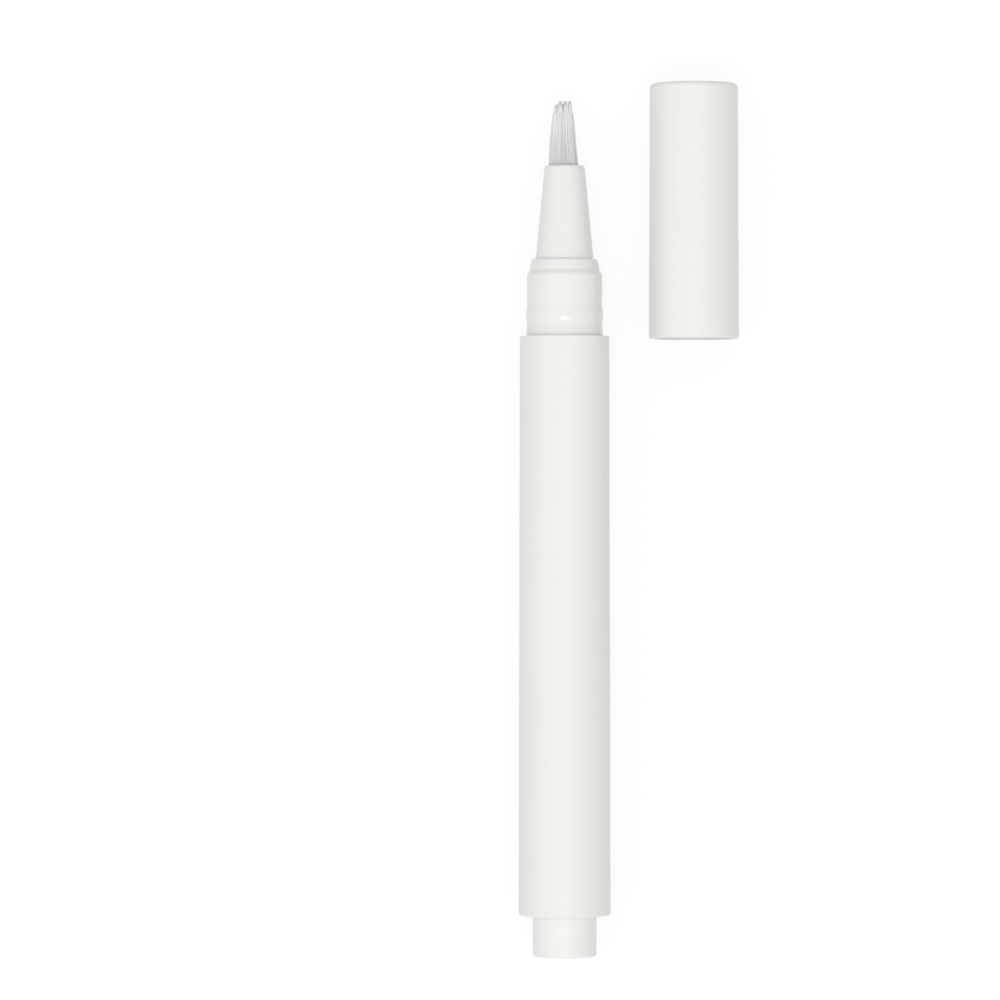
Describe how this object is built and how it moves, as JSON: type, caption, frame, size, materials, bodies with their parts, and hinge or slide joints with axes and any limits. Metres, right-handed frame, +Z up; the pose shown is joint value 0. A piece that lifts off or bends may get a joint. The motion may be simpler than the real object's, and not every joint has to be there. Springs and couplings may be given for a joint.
{
  "type": "nail oil pen",
  "caption": "Slim white click-type nail oil pen with a brush tip and lead-screw dispenser, lying uncapped with its pull-off cap beside it.",
  "frame": {"origin": "on the surface that the pen and its cap lie on, in the middle of their shared footprint", "axes": "+Y along the pen from its button to its bristles, +X from the pen to its cap, +Z up off the surface"},
  "size_m": [0.033, 0.1308, 0.0138],
  "materials": {
    "barrel_white": "satin, moulded",
    "button_white": "smooth, moulded",
    "mechanism_white": "moulded acetal",
    "spring_steel": "drawn wire",
    "washer_nylon": "smooth, stamped",
    "piston_soft": "soft polyethylene",
    "neck_white": "polished, moulded",
    "nozzle_white": "smooth, moulded",
    "ring_rubber": "moulded",
    "tube_clear": "extruded, translucent",
    "band_steel": "drawn tube",
    "bristles": "fine nylon filaments, translucent",
    "cap_white": "satin, moulded",
    "liner_white": "smooth, moulded"
  },
  "bodies": {
    "pen": {"barrel": "barrel_white", "fixed_cam_ring": "mechanism_white", "return_spring": "spring_steel", "mech_housing": "mechanism_white", "thrust_washer": "washer_nylon", "rod_guide": "mechanism_white", "reservoir": "neck_white", "nozzle": "nozzle_white", "nozzle_ring": "ring_rubber", "tube_plug": "nozzle_white", "feed_tube": "tube_clear", "brush_band": "band_steel", "bristle_tuft": "bristles"},
    "button": {"button_cap": "button_white", "knock_stem": "mechanism_white"},
    "rotor": {"ratchet_rotor": "mechanism_white"},
    "sleeve": {"drive_sleeve": "mechanism_white"},
    "plunger": {"lead_screw": "mechanism_white", "piston": "piston_soft"},
    "cap": {"cap_shell": "cap_white", "cap_liner": "liner_white"}
  },
  "joints": [
    {"name": "button_press", "type": "slide", "parent": "pen", "child": "button", "axis": [0, 1, 0], "range_m": [0, 0.0025], "stiffness_N_per_m": 1200, "springref_m": -0.002, "deforming": ["return_spring"]},
    {"name": "rotor_turn", "type": "hinge", "parent": "button", "child": "rotor", "pos_m": [-0.00962, -0.0528, 0.0069], "axis": [0, -1, 0], "range_deg": [0, 5731]},
    {"name": "sleeve_turn", "type": "hinge", "parent": "pen", "child": "sleeve", "pos_m": [-0.00962, -0.01975, 0.0069], "axis": [0, -1, 0], "range_deg": [0, 5731]},
    {"name": "rod_advance", "type": "slide", "parent": "pen", "child": "plunger", "axis": [0, 1, 0], "range_m": [0, 0.0382]},
    {"name": "cap_pull", "type": "slide", "parent": "pen", "child": "cap", "axis": [0, 1, 0], "range_m": [0, 0.036]}
  ],
  "couplings": [
    {"joint": "rotor_turn", "follows": "rod_advance", "rad_per_m": 2618},
    {"joint": "sleeve_turn", "follows": "rod_advance", "rad_per_m": 2618}
  ]
}
